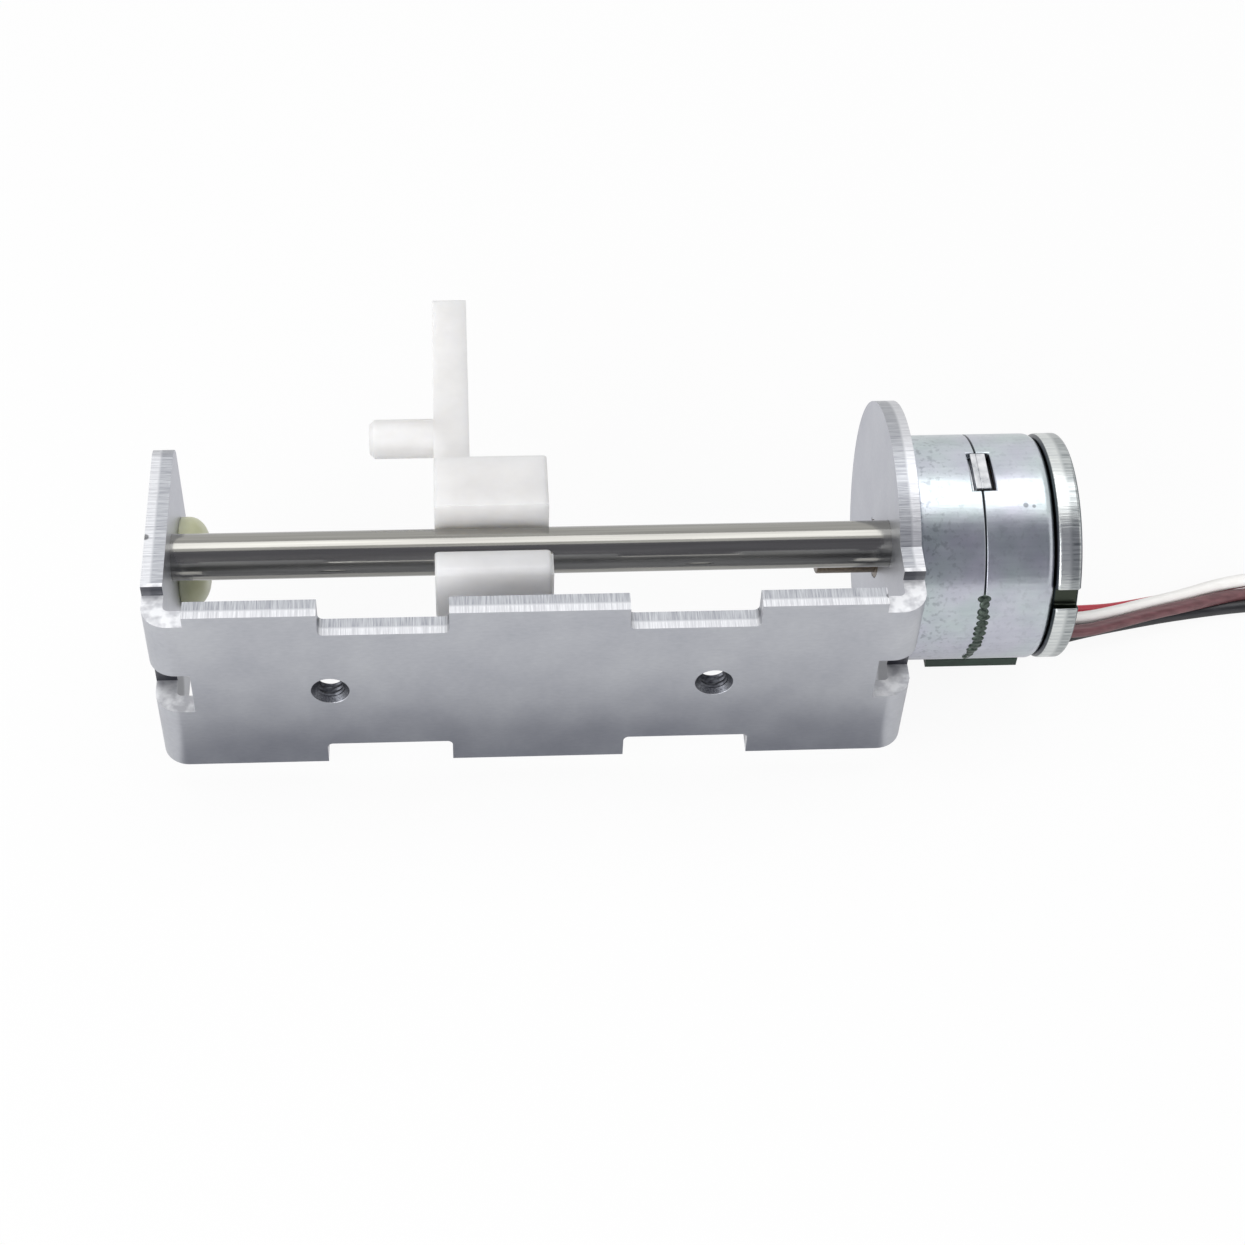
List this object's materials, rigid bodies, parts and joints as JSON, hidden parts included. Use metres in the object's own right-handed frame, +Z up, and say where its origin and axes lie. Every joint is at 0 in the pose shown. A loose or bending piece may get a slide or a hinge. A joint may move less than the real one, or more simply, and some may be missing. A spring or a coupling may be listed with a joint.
{
  "type": "stepper motor linear slide",
  "caption": "Linear slide: a bent steel bracket carries a stepper motor, its lead screw and a guide rod, on which a plastic carriage with an arm and a side pin travels.",
  "frame": {"origin": "midpoint of the two tapped holes, on the mounting face of the bracket's base", "axes": "+X along the lead screw towards the motor, +Y out of the base along the ears and the carriage's arm, +Z up across the bracket's width as the slide lies on its side"},
  "size_m": [0.1425, 0.04, 0.0262],
  "materials": {
    "zinc_plated_steel": "satin zinc plating, bright sheared edges",
    "polished_rod_steel": "polished",
    "motor_can_steel": "satin zinc plating",
    "screw_steel": "rolled thread, bright",
    "bush_nylon": "translucent natural nylon, oiled",
    "bearing_bronze": "oiled sintered bronze",
    "carriage_pom": "white acetal, satin",
    "winding_copper": "enamelled copper wire",
    "bobbin_plastic": "moulded, black",
    "rotor_ferrite": "ground ferrite",
    "hub_plastic": "moulded, natural",
    "washer_plastic": "thin polyester film",
    "cap_steel": "satin zinc plating",
    "weld_metal": "weld beads, dark oxide",
    "board_laminate": "glass-epoxy board, green mask",
    "tinned_brass": "tinned",
    "solder_tin": "bright solder",
    "wire_black_pvc": "soft satin sleeve",
    "wire_brown_pvc": "soft satin sleeve",
    "wire_white_pvc": "soft satin sleeve",
    "wire_red_pvc": "soft satin sleeve",
    "housing_nylon": "natural white nylon"
  },
  "bodies": {
    "frame": {"bracket": "zinc_plated_steel", "guide_rod": "polished_rod_steel", "end_bush": "bush_nylon", "front_bearing": "bearing_bronze", "front_can": "motor_can_steel", "rear_can": "motor_can_steel", "front_yoke": "motor_can_steel", "rear_yoke": "motor_can_steel", "front_bobbin": "bobbin_plastic", "rear_bobbin": "bobbin_plastic", "front_coil": "winding_copper", "rear_coil": "winding_copper", "end_cap": "cap_steel", "rear_bearing": "bearing_bronze", "seam_welds": "weld_metal", "terminal_board": "board_laminate", "terminal_pins": "tinned_brass", "solder_joints": "solder_tin", "wire_black": "wire_black_pvc", "wire_brown": "wire_brown_pvc", "wire_white": "wire_white_pvc", "wire_red": "wire_red_pvc", "connector_housing": "housing_nylon", "connector_contacts": "tinned_brass"},
    "rotor": {"lead_screw": "screw_steel", "rotor_hub": "hub_plastic", "rotor_magnet": "rotor_ferrite", "thrust_washers": "washer_plastic"},
    "carriage": {"carriage": "carriage_pom"}
  },
  "joints": [
    {"name": "rotor_spin", "type": "hinge", "parent": "frame", "child": "rotor", "pos_m": [0, 0.01483, 0], "axis": [1, 0, 0], "range_deg": [-15840, 13680]},
    {"name": "carriage_slide", "type": "slide", "parent": "frame", "child": "carriage", "axis": [1, 0, 0], "range_m": [-0.019, 0.022]}
  ],
  "couplings": [
    {"joint": "carriage_slide", "follows": "rotor_spin", "m_per_rad": -0.000079577}
  ]
}
